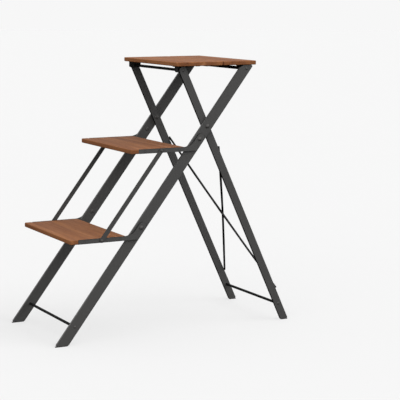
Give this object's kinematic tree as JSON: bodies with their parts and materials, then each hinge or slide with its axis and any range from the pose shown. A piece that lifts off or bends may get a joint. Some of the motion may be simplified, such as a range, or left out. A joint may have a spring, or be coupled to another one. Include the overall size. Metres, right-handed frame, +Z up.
{
  "type": "step ladder",
  "caption": "Folding step ladder of crossed flat-bar steel frames with wooden treads tied by link bars and a hinged wooden platform on top.",
  "frame": {"origin": "centre of the open ladder's bounding box, on the floor", "axes": "+Z up; the user climbs from -Y towards +Y; +X to the climber's right, along the rods"},
  "size_m": [0.3534, 0.7268, 0.75],
  "materials": {
    "steel": "satin charcoal powder coat",
    "fastener": "satin black",
    "wood": "oiled walnut, satin",
    "sole": "matt black"
  },
  "bodies": {
    "main_frame": {"main_leg_left": "steel", "main_leg_right": "steel", "main_sole_left": "sole", "main_sole_right": "sole", "front_foot_rod": "steel", "rear_top_rod": "steel", "main_rod_screws": "fastener", "pivot_rivets": "fastener", "pivot_washers": "fastener", "tread_rivets": "fastener"},
    "rear_frame": {"rear_leg_left": "steel", "rear_leg_right": "steel", "rear_sole_left": "sole", "rear_sole_right": "sole", "rear_foot_rod": "steel", "front_top_rod": "steel", "rear_rod_screws": "fastener", "brace_rod_1": "steel", "brace_rod_2": "steel"},
    "front_board": {"platform_board_front": "wood", "rod_lug_left": "steel", "rod_lug_right": "steel", "rod_lug_screws": "fastener", "hinge_leaves_front": "steel", "hinge_pins": "fastener", "hinge_screws_front": "fastener"},
    "rear_board": {"platform_board_rear": "wood", "rod_hook_left": "steel", "rod_hook_right": "steel", "rod_hook_screws": "fastener", "hinge_leaves_rear": "steel", "hinge_screws_rear": "fastener"},
    "lower_tread": {"lower_tread_board": "wood", "lower_bracket_left": "steel", "lower_bracket_right": "steel", "lower_bracket_screws": "fastener", "lower_link_pins": "fastener"},
    "middle_tread": {"middle_tread_board": "wood", "middle_bracket_left": "steel", "middle_bracket_right": "steel", "middle_bracket_screws": "fastener", "middle_link_pins": "fastener"},
    "link_left": {"link_bar_left": "steel"},
    "link_right": {"link_bar_right": "steel"}
  },
  "joints": [
    {"name": "frame_fold", "type": "hinge", "parent": "main_frame", "child": "rear_frame", "pos_m": [0, 0.0932, 0.573], "axis": [-1, 0, 0], "range_deg": [0, 56]},
    {"name": "front_board_fold", "type": "hinge", "parent": "rear_frame", "child": "front_board", "pos_m": [0, 0.02326, 0.72718], "axis": [1, 0, 0], "range_deg": [0, 109.3]},
    {"name": "rear_board_fold", "type": "hinge", "parent": "front_board", "child": "rear_board", "pos_m": [0, 0.1414, 0.7346], "axis": [-1, 0, 0], "range_deg": [0, 148.5]},
    {"name": "lower_tread_fold", "type": "hinge", "parent": "main_frame", "child": "lower_tread", "pos_m": [0, -0.11177, 0.30588], "axis": [-1, 0, 0], "range_deg": [0, 120.78]},
    {"name": "middle_tread_fold", "type": "hinge", "parent": "main_frame", "child": "middle_tread", "pos_m": [0, 0.06702, 0.53889], "axis": [-1, 0, 0], "range_deg": [0, 120.78]},
    {"name": "link_left_turn", "type": "hinge", "parent": "lower_tread", "child": "link_left", "pos_m": [0, -0.22977, 0.27988], "axis": [1, 0, 0], "range_deg": [0, 120.78]},
    {"name": "link_right_turn", "type": "hinge", "parent": "lower_tread", "child": "link_right", "pos_m": [0, -0.22977, 0.27988], "axis": [1, 0, 0], "range_deg": [0, 120.78]}
  ],
  "couplings": [
    {"joint": "front_board_fold", "follows": "frame_fold", "ratio": 1.95},
    {"joint": "rear_board_fold", "follows": "frame_fold", "ratio": 2.65},
    {"joint": "lower_tread_fold", "follows": "frame_fold", "ratio": 2.155},
    {"joint": "middle_tread_fold", "follows": "frame_fold", "ratio": 2.155},
    {"joint": "link_left_turn", "follows": "frame_fold", "ratio": 2.155},
    {"joint": "link_right_turn", "follows": "frame_fold", "ratio": 2.155}
  ]
}
